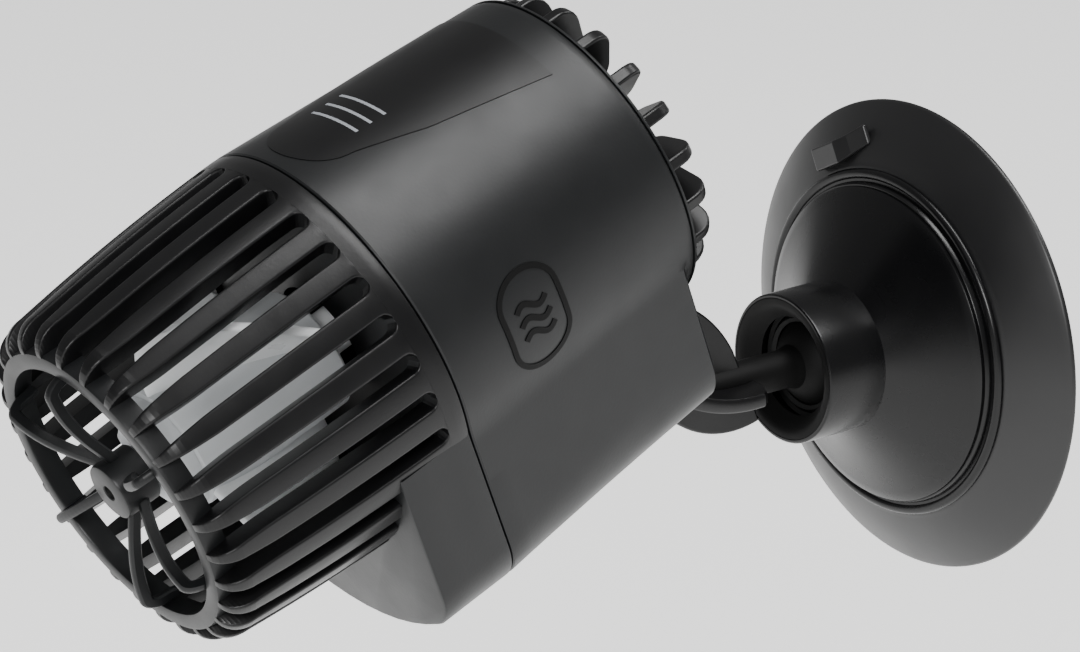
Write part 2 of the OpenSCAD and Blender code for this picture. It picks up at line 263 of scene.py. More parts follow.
def hex_colour(text):
    """Linear colour of an sRGB hex value."""
    parts = [int(text[i : i + 2], 16) / 255 for i in (1, 3, 5)]
    return [c / 12.92 if c <= 0.04045 else ((c + 0.055) / 1.055) ** 2.4 for c in parts] + [1.0]


def add_node(tree, kind, links=(), values=(), **settings):
    """Adds a node, with its settings, its socket values and its links."""
    made = tree.nodes.new(kind)
    for key, value in settings.items():
        setattr(made, key, value)
    for key, value in values:
        made.inputs[key].default_value = value
    for key, source in links:
        tree.links.new(source, made.inputs[key])
    return made


def moulded(name, colour, roughness, spread, grain_mm, grain_depth_mm, drift=0.82, ior=1.37, metallic=0.0):
    """A surface with slow colour drift, uneven gloss and a fine grain."""
    material = bpy.data.materials.new(name)
    material.use_nodes = True
    tree = material.node_tree
    tree.nodes.clear()
    place = add_node(tree, "ShaderNodeTexCoord").outputs["Object"]
    clouds, handling, grain = (
        add_node(
            tree,
            "ShaderNodeTexNoise",
            [("Vector", place)],
            [("Scale", 1000 / size_mm), ("Detail", detail)],
        )
        for size_mm, detail in ((CLOUD_MM, 3.0), (HANDLING_MM, 4.0), (grain_mm, 2.0))
    )
    darker = [drift * c for c in colour[:3]] + [1.0]
    tint = add_node(
        tree,
        "ShaderNodeMix",
        [(MIX_FACTOR, clouds.outputs["Fac"])],
        [(MIX_A, darker), (MIX_B, list(colour[:3]) + [1.0])],
        data_type="RGBA",
    )
    gloss = add_node(
        tree,
        "ShaderNodeMapRange",
        [("Value", handling.outputs["Fac"])],
        [
            ("From Min", 0.3),
            ("From Max", 0.7),
            ("To Min", roughness - spread),
            ("To Max", roughness + spread),
        ],
    )
    bump = add_node(
        tree,
        "ShaderNodeBump",
        [("Height", grain.outputs["Fac"])],
        [("Strength", 1.0), ("Distance", grain_depth_mm * 0.001)],
    )
    values = [("Metallic", metallic)]
    # A metal keeps the default IOR.
    if not metallic:
        values.append(("IOR", ior))
    shader = add_node(
        tree,
        "ShaderNodeBsdfPrincipled",
        [
            ("Base Color", tint.outputs[MIX_RESULT]),
            ("Roughness", gloss.outputs["Result"]),
            ("Normal", bump.outputs["Normal"]),
        ],
        values,
    )
    add_node(tree, "ShaderNodeOutputMaterial", [("Surface", shader.outputs["BSDF"])])
    return material


FINISHES = {}


def recipes(colours):
    """Every finish: name, colour, roughness, its spread, grain size and depth in mm, drift, IOR, metallic."""
    return {
        # Injection-moulded ABS with a spark-eroded satin skin: broad soft highlights.
        "housing": ("satin_moulded_abs_charcoal", colours.housing, 0.4, 0.03, 0.5, 0.012),
        # The same ABS, darker and a little smoother: narrower highlights along the ribs.
        "guard": ("satin_moulded_abs_dark", colours.guard, 0.36, 0.04, 0.5, 0.012),
        # The front ring and spokes are moulded a shade lighter.
        "ring": ("satin_moulded_abs_grey", colours.ring, 0.4, 0.04, 0.5, 0.01),
        # White acetal of the propeller, slick and faintly waxy.
        "propeller": ("moulded_acetal_white", colours.propeller, 0.3, 0.04, 0.8, 0.006, 0.93, 1.48),
        # Light grey filled acetal of the hub, a little duller than the blades.
        "hub": ("moulded_acetal_grey", colours.hub, 0.35, 0.04, 0.8, 0.006, 0.93),
        # Black ABS of the base and its boss, from a satin-polished tool: fairly tight highlights.
        "base": ("polished_abs_black", colours.base, 0.27, 0.02, 0.9, 0.002),
        # Spark-eroded black ABS of the boss's mouth, the neck and the badges: it swallows light. On the mouth
        # and the neck its near-black is painted shade inside the socket; on the badges it is their own dark
        # marks.
        "insert": ("spark_eroded_abs_black", hex_colour("#040404"), 0.6, 0.04, 0.5, 0.01, 0.82, 1.25),
        # Soft PVC of the suction cup: smooth and dark, with a broad sheen.
        "cup": ("moulded_soft_pvc_black", colours.cup, 0.38, 0.02, 1.2, 0.003, 0.82, 1.5),
        # Printed polyester film with a satin face, flatter and darker than the housing.
        "label": ("printed_polyester_film", colours.label, 0.42, 0.03, 0.6, 0.003),
        # Pale ink of the generic marks on the film: flat and chalky.
        "ink": ("screen_printed_ink_grey", colours.ink, 0.5, 0.03, 0.4, 0.004),
        # Matte nitrile of the seal, the gland, the front bush and the ball's pad: no highlight. The ball's
        # shell wears it too, its near-black painted shade inside the socket.
        "rubber_and_socket_shade": ("moulded_nitrile_matte", hex_colour("#070707"), 0.7, 0.06, 0.5, 0.02, 0.8),
        # Ground alumina of the shaft and its rear bush: pale, with a hard gloss.
        "ceramic": ("ground_alumina", hex_colour("#e4e0d6"), 0.25, 0.05, 0.3, 0.003, 0.82, 1.76),
        # Sintered ferrite of the rotor magnet: dark grey and dull.
        "ferrite": ("ground_ferrite", hex_colour("#37373a"), 0.5, 0.06, 0.25, 0.01),
        # Glass-filled polymer of the can: plain grey, nearly matte.
        "can": ("moulded_pps_grey", hex_colour("#54575a"), 0.45, 0.05, 0.4, 0.01),
        # Punched silicon-steel laminations: dull grey metal.
        "steel": ("punched_lamination_steel", hex_colour("#9a9da1"), 0.4, 0.06, 0.5, 0.02, 0.82, None, 1.0),
        # Enamelled copper wire: warm, fairly bright metal.
        "copper": ("enamelled_copper_wire", hex_colour("#b5683a"), 0.35, 0.06, 0.4, 0.06, 0.82, None, 1.0),
        # Stainless screws, tumbled smooth: small bright glints.
        "screw": ("tumbled_stainless_steel", hex_colour("#c3c5c8"), 0.28, 0.05, 0.4, 0.004, 0.82, None, 1.0),
    }


def finish_named(key):
    """A finish, made the first time it is asked for."""
    if key not in FINISHES:
        FINISHES[key] = moulded(*recipes(bpy.context.scene.pump_colours)[key])
    return FINISHES[key]


CAD_FINISHES = {
    "front_bush": "rubber_and_socket_shade",
    "rear_bush": "ceramic",
    "shaft": "ceramic",
    "rotor_magnet": "ferrite",
    "rotor_sleeve": "propeller",
    "rotor_can": "can",
    "o_ring": "rubber_and_socket_shade",
    "front_plate": "guard",
    "motor_housing": "housing",
    "guard_cage": "guard",
    "front_ring": "ring",
    "guard_spider": "ring",
    "propeller": "propeller",
    "prop_nose": "hub",
    "stator_core": "steel",
    "windings": "copper",
    "stator_cradle": "guard",
    "rear_cap": "housing",
    "cap_screws": "screw",
    "cord_gland": "rubber_and_socket_shade",
    "label_panel": "label",
    "badge_right": "label",
    "badge_left": "label",
    "swivel_stem": "guard",
    "stem_screws": "screw",
    "socket_pad": "rubber_and_socket_shade",
    # The ball's shell takes the near-black rubber finish as painted shade inside the socket.
    "socket_shell": "rubber_and_socket_shade",
    "clamp_ring": "base",
    "suction_base": "base",
    "cup_ring": "base",
    "suction_cup": "cup",
}


# ---------------------------------------------------------------- settings


class PUMP_PG_sizes(bpy.types.PropertyGroup):
    slot_width: FloatProperty(
        name="Slot width", description="Width of one slot of the guard",
        default=0.00285, min=0.0022, max=0.0034, unit="LENGTH")
    slot_count: IntProperty(
        name="Slots", description="Number of slots around the guard", default=28, min=20, max=32)
    rib_rounding: FloatProperty(
        name="Rib rounding", description="Radius of the guard ribs' outer edges",
        default=0.0004, min=0.0002, max=0.001, unit="LENGTH")
    blade_thickness: FloatProperty(
        name="Blade thickness", description="Thickness of a propeller blade",
        default=0.0014, min=0.0008, max=0.0018, unit="LENGTH")
    fin_count: IntProperty(
        name="Fins", description="Number of cooling fins on the rear cap", default=20, min=16, max=22)
    label_lift: FloatProperty(
        name="Label lift", description="How far the label's film stands off the housing",
        default=0.00012, min=0.00005, max=0.0003, unit="LENGTH")


class PUMP_PG_colours(bpy.types.PropertyGroup):
    housing: FloatVectorProperty(
        name="Housing", description="Colour of the motor housing and the guard's chin",
        default=hex_colour("#131415"), size=4, subtype="COLOR", min=0, max=1)
    guard: FloatVectorProperty(
        name="Guard", description="Colour of the guard, the stem's ribs and the rear cap",
        default=hex_colour("#0a0a0b"), size=4, subtype="COLOR", min=0, max=1)
    ring: FloatVectorProperty(
        name="Front ring", description="Colour of the front ring and its spokes",
        default=hex_colour("#121314"), size=4, subtype="COLOR", min=0, max=1)
    propeller: FloatVectorProperty(
        name="Blades", description="Colour of the propeller's blades",
        default=hex_colour("#eceeef"), size=4, subtype="COLOR", min=0, max=1)
    hub: FloatVectorProperty(
        name="Hub", description="Colour of the propeller's hub and nose",
        default=hex_colour("#c4c7c9"), size=4, subtype="COLOR", min=0, max=1)
    base: FloatVectorProperty(
        name="Base", description="Colour of the hard suction base",
        default=hex_colour("#070708"), size=4, subtype="COLOR", min=0, max=1)
    cup: FloatVectorProperty(
        name="Cup", description="Colour of the suction cup",
        default=hex_colour("#101011"), size=4, subtype="COLOR", min=0, max=1)
    label: FloatVectorProperty(
        name="Label", description="Colour of the label's film",
        default=hex_colour("#060607"), size=4, subtype="COLOR", min=0, max=1)
    ink: FloatVectorProperty(
        name="Ink", description="Colour of the printed lines on the label",
        default=hex_colour("#8d9095"), size=4, subtype="COLOR", min=0, max=1)


# ---------------------------------------------------------------- pieces


class PUMP_OT_stage(bpy.types.Operator):
    """Sets the pale floor, the soft studio light and the camera"""

    bl_idname = "pump.stage"
    bl_label = "Stage"

    def execute(self, context):
        scene = context.scene
        bm = bmesh.new()
        bmesh.ops.create_grid(bm, x_segments=2, y_segments=2, size=FLOOR_HALF_SIZE)
        # The cup holds the pump on a wall, so the floor lies clear of the pump's lowest swing.
        bmesh.ops.translate(bm, verts=bm.verts, vec=(0, 0, CAD_BOX[0][2] - FLOOR_DROP))
        mesh = bpy.data.meshes.new("floor")
        bm.to_mesh(mesh)
        bm.free()
        floor = bpy.data.objects.new("floor", mesh)
        # Seamless studio paper: flat, matte and almost white.
        paper = moulded("matte_backdrop_paper", hex_colour("#f6f6f5"), 0.85, 0.03, 2.0, 0.01, drift=0.99)
        # It lies on a light table, so it glows evenly from below.
        glow = next(node for node in paper.node_tree.nodes if node.type == "BSDF_PRINCIPLED")
        glow.inputs["Emission Color"].default_value = (1, 1, 1, 1)
        glow.inputs["Emission Strength"].default_value = PAPER_GLOW
        mesh.materials.append(paper)
        scene.collection.objects.link(floor)

        world = bpy.data.worlds.new("studio")
        world.use_nodes = True
        sky = world.node_tree.nodes["Background"]
        sky.inputs["Color"].default_value = (1, 1, 1, 1)
        sky.inputs["Strength"].default_value = SKY_STRENGTH
        scene.world = world

        softboxes = [
            ("top_softbox", (0.22, 0.03, 0.85), 0.24, 0.7, 9.0),
            ("key_softbox", (0.7, -0.8, 0.5), 0.3, 0.3, 8.0),
            ("rim_softbox", (0.2, 0.8, 0.7), 0.4, 0.3, 4.0),
        ]
        for name, place, width, height, power in softboxes:
            lamp = bpy.data.lights.new(name, "AREA")
            lamp.shape = "RECTANGLE"
            lamp.size = width
            lamp.size_y = height
            lamp.energy = power
            thing = bpy.data.objects.new(name, lamp)
            thing.location = place
            thing.rotation_euler = (LIGHTS_AIM - Vector(place)).to_track_quat("-Z", "Y").to_euler()
            scene.collection.objects.link(thing)

        camera = bpy.data.cameras.new("camera")
        camera.lens = CAMERA_LENS
        camera.sensor_width = 36
        camera.clip_start = 0.05
        camera.clip_end = 20
        view = bpy.data.objects.new("camera", camera)
        turn = Matrix((CAMERA_RIGHT, CAMERA_UP, CAMERA_BACK)).transposed().to_4x4()
        view.matrix_world = Matrix.Translation(CAMERA_PLACE) @ turn
        scene.collection.objects.link(view)
        scene.camera = view
        return {"FINISHED"}


class PUMP_OT_cad_finishes(bpy.types.Operator):
    """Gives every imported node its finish"""

    bl_idname = "pump.cad_finishes"
    bl_label = "Finishes"

    def execute(self, context):
        for name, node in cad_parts.items():
            finish = finish_named(CAD_FINISHES[name])
            node.data.materials.clear()
            node.data.materials.append(finish)
        return {"FINISHED"}


NOSE_START = 37
NOSE_LENGTH = 4.5
SLOT_FLARE_START = 32


def guard_outer(y):
    """Outer radius of the guard's ribs at y, in millimetres, with a round nose in front."""
    f = -y
    if f <= NOSE_START:
        return SEAM_RADIUS - 0.0072 * f - 0.00146 * f * f
    share = min(1.0, (f - NOSE_START) / NOSE_LENGTH)
    low = 23.35
    return low + (26.735 - low) * math.sqrt(1 - share * share)


class PUMP_OT_guard(bpy.types.Operator):
    """Builds the slotted guard: its ribs, its collar and its chin"""

    bl_idname = "pump.guard"
    bl_label = "Guard"

    def rib_section(self, y, slot_half, pitch, rounding):
        """A rib's cross section at y, with rounded outer edges, in the plane across the axis."""
        outer = guard_outer(y)
        inner = 25.6 if y > -9 else 25.6 - 2.5 * (-y - 9) / 28
        inner = max(inner, 22.9)
        half = math.radians(pitch / 2)

        def wall(z):
            return (z * math.sin(half) - slot_half) / math.cos(half)

        b = min(rounding, 0.45 * (outer - inner))
        shoulder = wall(outer - b)
        side = [
            (wall(inner), inner),
            (shoulder, outer - b),
            (shoulder - 0.08 * b, outer - 0.55 * b),
            (shoulder - 0.3 * b, outer - 0.24 * b),
            (shoulder - 0.65 * b, outer - 0.06 * b),
            (shoulder - 1.1 * b, outer),
        ]
        # Past the inner corner, each point lies on its circle around the motor axis.
        right = [Vector((side[0][0], y, side[0][1]))]
        right += [Vector((x, y, math.sqrt(max(z * z - x * x, 0)))) for x, z in side[1:]]
        top = Vector((0, y, outer))
        left = [Vector((-p.x, p.y, p.z)) for p in reversed(right)]
        return right + [top] + left

    def execute(self, context):
        sizes = context.scene.pump_sizes
        pitch = 360 / sizes.slot_count
        slot = sizes.slot_width * 500
        rounding = sizes.rib_rounding * 1000
        stations = [(-3.3, 0.0), (-3.45, 0.36 * slot), (-3.6, 0.52 * slot), (-3.85, 0.73 * slot)]
        stations += [(-4.2, 0.9 * slot), (-4.85, slot)]
        stations += [(-y, slot) for y in (7, 10, 13, 16, 19, 22, 25, 28, 30, 32)]
        turns = (10, 20, 30, 40, 50, 60, 70, 78, 84, 88)
        nose = [33, 34.5, 36, NOSE_START]
        nose += [NOSE_START + NOSE_LENGTH * math.sin(math.radians(t)) for t in turns]
        # The slots widen towards the nose.
        stations += [(-y, slot + 0.62 * ((y - SLOT_FLARE_START) / 9.5) ** 1.5) for y in nose]
        bm = bmesh.new()
        # A slot's rear end is round, so its half width grows over the first stations.
        sweep(bm, [self.rib_section(y, gap, pitch, rounding if gap else 0.12) for y, gap in stations])
        spin_copies(bm, sizes.slot_count, pitch / 2)
        black = finish_named("guard")
        part("guard_ribs", bm, PUMP, "guard", black, ["guard_cage"], crease=35)
        bm = bmesh.new()
        collar = [(25.6, -3.4), (28.96, -3.4), (29.0, -2.0), (29.0, -0.6), (28.9, -0.3), (28.6, -0.18)]
        lathe(bm, collar + [(25.6, -0.18)], steps=168, closed=True)
        part("guard_collar", bm, PUMP, "guard", black, crease=35)

        start = next(d for d in range(90, 180) if reach(KEEL_FRONT, math.radians(d)) > 28.8)
        span = 360 - 2 * start

        def chin(y, shrink):
            """Three quarters of the loop run round the keel, and the last back inside the collar."""

            def place(turn):
                if turn < 0.75:
                    angle = math.radians(start + span * turn / 0.75)
                    return around(max(reach(KEEL_FRONT, angle) - shrink, 25.9), angle, y)
                angle = math.radians(360 - start - span * (turn - 0.75) / 0.25)
                return around(25.7, angle, y)

            return place

        bm = bmesh.new()
        levels = [(-12.8, 0.55), (-12.68, 0.2), (-12.4, 0.0), (-8, 0.0), (-4, 0.0), (-0.5, 0.0)]
        levels += [(-0.28, 0.08), (-0.18, 0.35)]
        loft(bm, 240, [chin(y, shrink) for y, shrink in levels])
        part("guard_chin", bm, PUMP, "guard", finish_named("housing"), crease=35)
        return {"FINISHED"}


class PUMP_OT_spider(bpy.types.Operator):
    """Builds the front ring, its hub and its arched spokes"""

    bl_idname = "pump.spider"
    bl_label = "Front ring and spokes"

    def edge_pairs(self):
        """Front and rear edge points of a spoke, as (radius, height in front of the ring's front plane)."""
        root, knee, hub_edge = 3.6, 18.17, 3.9
        pairs = []
        for step in range(15):
            r = root + (knee - root) * step / 15
            rise = math.sin(math.radians(90) * max(r - hub_edge, 0) / (knee - hub_edge))
            height = -1.9 + 4.5 * rise
            pairs.append(((r, height), (r, height - 1.9)))
        for step in range(0, 91, 9):
            t = math.radians(step)
            front = (knee + 2.43 * math.sin(t), -2 + 4.6 * math.cos(t))
            rear = (knee + 0.73 * math.sin(t), -2 + 2.7 * math.cos(t))
            pairs.append((front, rear))
        return pairs + [((20.8, -2.9), (19.3, -3.3))]

    def execute(self, context):
        grey = finish_named("ring")
        bm = bmesh.new()
        ring = [(20.5, -41.2), (20.62, -41.48), (20.9, -RING_FRONT), (22.7, -RING_FRONT), (23.1, -41.45)]
        ring += [(RING_RADIUS, -41.0), (RING_RADIUS, -38), (21.1, -38)]
        lathe(bm, ring, steps=168, closed=True)
        part("ring_face", bm, PUMP, "guard", grey, ["front_ring"], crease=40)
        bm = bmesh.new()
        hub = [(1.15, -41.45), (1.3, -RING_FRONT), (3.9, -RING_FRONT), (4.25, -41.45), (4.4, -41.1)]
        hub += [(4.4, -36.0), (4.0, -35.6), (2.45, -35.6), (2.45, -40.45), (1.15, -40.45)]
        lathe(bm, hub, closed=True)
        part("front_hub", bm, PUMP, "guard", grey, ["guard_spider"], crease=40)

        bm = bmesh.new()
        sections = []
        # Half the spoke's width in millimetres, and its rounding as a share of its depth.
        w, b = 0.7, 0.16
        for (r0, h0), (r1, h1) in self.edge_pairs():
            front = Vector((0, -RING_FRONT - h0, r0))
            rear = Vector((0, -RING_FRONT - h1, r1))
            deep = rear - front
            profile = [(w, b), (w - 0.3, 0.03), (w - 0.55, 0.0), (0.55 - w, 0.0), (0.3 - w, 0.03), (-w, b)]
            profile += [(-w, 1 - b), (0.3 - w, 1.0), (w - 0.3, 1.0), (w, 1 - b)]
            sections.append([front + deep * share + Vector((x, 0, 0)) for x, share in profile])
        sweep(bm, sections)
        spin_copies(bm, 6)
        part("front_spokes", bm, PUMP, "guard", grey, crease=38)
        return {"FINISHED"}


class PUMP_OT_propeller(bpy.types.Operator):
    """Builds the propeller's hub, nose and twisted blades"""

    bl_idname = "pump.propeller"
    bl_label = "Propeller"

    def execute(self, context):
        sizes = context.scene.pump_sizes
        grey = finish_named("hub")
        bm = bmesh.new()
        hub = [(6.8, -11), (1.2, -11), (1.2, -31), (8.9, -31), (9.4, -30.6), (9.5, -30.1)]
        hub += [(9.5, -5.5), (9.2, -5.1), (8.8, -5), (6.8, -5)]
        lathe(bm, hub, closed=True)
        part("propeller_hub", bm, PUMP, "impeller", grey, ["propeller"])
        bm = bmesh.new()
        turns = [math.radians(t) for t in range(0, 85, 7)]
        dome = [(9 - 5.5 * (1 - math.cos(t)), -31 - 3.9 * math.sin(t)) for t in turns]
        lathe(bm, [(1.2, -31)] + dome + [(1.2, -34.9)], closed=True)
        part("propeller_nose", bm, PUMP, "impeller", grey, ["prop_nose"], crease=40)

        bm = bmesh.new()
        root, tip = 9.0, 21.4
        grid = bmesh.ops.create_grid(bm, x_segments=16, y_segments=10, size=0.5)["verts"]
        for vert in grid:
            along, out = vert.co.x + 0.5, vert.co.y + 0.5
            radius = root + (tip - root) * out
            # The blade narrows towards its tip.
            trim = 1 - 0.16 * out**3
            share = 0.5 + (along - 0.5) * trim
            y = -30.5 + 22.5 * share
            angle = math.radians(30 + 54 * share + 7 * out * out)
            vert.co = (radius * math.cos(angle), y, -radius * math.sin(angle))
        bmesh.ops.recalc_face_normals(bm, faces=bm.faces)
        spin_copies(bm, 3)
        white = finish_named("propeller")
        blades = part("propeller_blades", bm, PUMP, "impeller", white, crease=60)
        wall = blades.modifiers.new("thickness", "SOLIDIFY")
        wall.thickness = sizes.blade_thickness
        wall.offset = 0
        soft = blades.modifiers.new("rounded_edges", "BEVEL")
        soft.width = 0.0004
        soft.segments = 2
        soft.limit_method = "ANGLE"
        soft.angle_limit = math.radians(50)
        return {"FINISHED"}


def housing_reach(angle, y):
    """Outer radius of the housing at an angle from the top and at y, in millimetres."""
    barrel = barrel_radius(y)
    share = min(y / 43, 1.0)
    keel = (1 - share) * reach(KEEL_FRONT, angle) + share * reach(KEEL_MID, angle)
    if y > 43.2:
        share = (y - 43.2) / 2.6
        keel = (1 - share) * reach(KEEL_MID, angle) + share * reach(KEEL_REAR, angle)
    low = math.degrees(abs(angle - math.pi)) < 84
    return soft_max(barrel, keel, 0.6) if low else barrel


class PUMP_OT_housing(bpy.types.Operator):
    """Builds the motor housing, a tapered barrel with a keel under it"""

    bl_idname = "pump.housing"
    bl_label = "Motor housing"

    def execute(self, context):
        def level(y, shrink, outline_y=None):
            """A loop at y, with the outline of outline_y drawn in by shrink."""

            def place(turn):
                angle = 2 * math.pi * turn
                at = y if outline_y is None else outline_y
                return around(housing_reach(angle, at) - shrink, angle, y)

            return place

        def circle(radius, y):
            return lambda turn: around(radius, 2 * math.pi * turn, y)

        loops = [circle(25.3, 3.0), circle(25.3, 0.1)]
        loops += [level(0.02, 0.5, 0.0), level(0.08, 0.18, 0.0), level(0.35, 0.0)]
        loops += [level(y, 0.0) for y in (4, 8, 12, 16, 20, 24, 28, 32, 36, 39, 41.5, 43)]
        loops += [level(43.6, 0.0), level(44.3, 0.0), level(45.0, 0.0), level(45.5, 0.15), level(45.75, 0.5)]
        # The keel ends flat here. The barrel runs on to its rim and turns in to the cap's seat.
        loops += [circle(barrel_radius(45.8), 45.8), circle(barrel_radius(46.05) - 0.02, 46.05)]
        loops += [circle(25.62, 46.2), circle(25.4, 46.3), circle(24.65, 46.3), circle(24.45, 46.15)]
        loops += [circle(24.4, 45.9), circle(24.4, 42.5)]
        bm = bmesh.new()
        loft(bm, 256, loops)
        grey = finish_named("housing")
        part("housing_shell", bm, PUMP, "pump", grey, ["motor_housing"], crease=30)
        return {"FINISHED"}


class PUMP_OT_marks(bpy.types.Operator):
    """Lays the plain label and the capsule badges on the housing"""

    bl_idname = "pump.marks"
    bl_label = "Label and badges"

    def label_half(self, y):
        """Half width of the label at y."""
        if y < 9:
            return 8.4 * math.sqrt(max(0.0, 1 - ((9 - y) / 6.6) ** 2))
        if y < 20:
            return 8.4 + 3.4 * (y - 9) / 11
        return 11.8 + 3.2 * (y - 20) / 19.5

    def film(self, name, y0, y1, half, lift, finish, steps=36):
        """A curved strip of film on the barrel's top, from y0 to y1."""
        bm = bmesh.new()
        grid = bmesh.ops.create_grid(bm, x_segments=24, y_segments=steps, size=0.5)["verts"]
        for vert in grid:
            across, along = 2 * vert.co.x, vert.co.y + 0.5
            # A long film has its rows closer together at its round front end.
            share = 1 - math.cos(math.pi * along / 2) if steps > 12 else along
            y = y0 + (y1 - y0) * share
            radius = barrel_radius(y)
            vert.co = around(radius + lift, across * half(y) / radius, y)
        out = bmesh.ops.extrude_face_region(bm, geom=bm.faces[:])["geom"]
        skin = [g for g in out if isinstance(g, bmesh.types.BMVert)]
        for vert in skin:
            vert.co = vert.co - Vector((vert.co.x, 0, vert.co.z)).normalized() * (lift + 0.1)
        return part(name, bm, PUMP, "pump", finish, crease=50)

    def on_flank(self, side, along, up, lift):
        """A point of the badge, laid on the housing's flank."""
        y, z = 16 + along, up
        x = 27.9
        # The flank's x depends on the angle and the angle on x, and four rounds settle both.
        for _ in range(4):
            angle = math.atan2(x, z)
            x = housing_reach(angle, y) * math.sin(angle)
        return Vector((side * (x + lift), y, z))

    def band(self, bm, side, centre_line, half_width, lift, closed):
        """A thin raised line that follows points (along, up) on the flank."""
        count = len(centre_line)
        sections = []
        for index, (a, u) in enumerate(centre_line):
            before = centre_line[index - 1 if index or closed else 0]
            after = centre_line[(index + 1) % count if closed or index < count - 1 else index]
            flow = Vector((after[0] - before[0], after[1] - before[1])).normalized()
            nx, ny = -flow.y * half_width, flow.x * half_width
            sections.append(
                [
                    self.on_flank(side, a + nx, u + ny, -0.1),
                    self.on_flank(side, a + nx, u + ny, lift),
                    self.on_flank(side, a - nx, u - ny, lift),
                    self.on_flank(side, a - nx, u - ny, -0.1),
                ]
            )
        if closed:
            sections.append(sections[0])
        sweep(bm, sections)

    def execute(self, context):
        lift = context.scene.pump_sizes.label_lift * 1000
        film = self.film("label_film", 2.42, 39.5, self.label_half, lift, finish_named("label"))
        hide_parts("label_panel")
        for row, (start, stop) in enumerate(((12.0, 12.5), (14.5, 15.0), (17.0, 17.5))):
            ink = finish_named("ink")
            self.film(f"label_line_{row + 1}", start, stop, lambda y: 5.5, lift + 0.03, ink, steps=2)
        for side, name in ((1, "badge_right"), (-1, "badge_left")):
            outline = []
            for centre, start in ((3.2, 0), (-3.2, 180)):
                for step in range(0, 181, 9):
                    t = math.radians(start + step)
                    outline.append((5.2 * math.cos(t), centre + 4.4 * math.sin(t)))
                outline += [(outline[-1][0], centre * (1 - i / 5)) for i in range(1, 10)]
            bm = bmesh.new()
            self.band(bm, side, outline, 0.42, 0.15, True)
            for row in (-1, 0, 1):
                turns = [2 * math.pi * i / 20 for i in range(21)]
                wave = [(-2.8 + 5.6 * i / 20, 2.3 * row + 0.75 * math.sin(t)) for i, t in enumerate(turns)]
                self.band(bm, side, wave, 0.45, 0.15, False)
            part(f"{name}_marks", bm, PUMP, "pump", finish_named("insert"), [name], crease=50)
        return {"FINISHED"}


class PUMP_OT_rear(bpy.types.Operator):
    """Builds the rear cap with its ring of cooling fins, and the cord gland"""

    bl_idname = "pump.rear"
    bl_label = "Rear cap and fins"

    def execute(self, context):
        black = finish_named("guard")
        bm = bmesh.new()
        cap = [(4.1, 42.6), (24.3, 42.6), (24.3, 45.1), (24.1, 45.3), (6.6, 45.3), (6.1, 45.7), (6.0, 46.2)]
        lathe(bm, cap + [(6.0, 49.1), (5.7, 49.5), (4.1, 49.5)], closed=True)
        part("rear_disc", bm, PUMP, "pump", black, ["rear_cap"], crease=40)
        bm = bmesh.new()
        corners = [(49.1, 20.6, 3.2, 0), (49.1, 16.2, 3.2, -90)]
        outline = [(45.0, 13.0), (45.0, 23.8)]
        for cy, cr, radius, start in corners:
            for step in range(7):
                t = math.radians(90 + start - 15 * step)
                outline.append((cy + radius * math.cos(t), cr + radius * math.sin(t)))
        sweep(bm, [[Vector((x, y, r)) for y, r in outline] for x in (-1.0, 1.0)])
        count = context.scene.pump_sizes.fin_count
        spin_copies(bm, count, 180 / count)
        part("rear_fins", bm, PUMP, "pump", black, crease=32, bevel=0.45)
        bm = bmesh.new()
        lip = [(2.6, 42.7), (4.05, 42.7), (4.05, 49.6), (5.0, 49.62), (5.2, 49.85), (5.2, 50.6), (4.9, 50.95)]
        lathe(bm, lip + [(3.1, 51.0), (2.7, 50.8), (2.6, 50.5)], closed=True)
        part("gland", bm, PUMP, "pump", finish_named("rubber_and_socket_shade"), ["cord_gland"], crease=40)
        return {"FINISHED"}


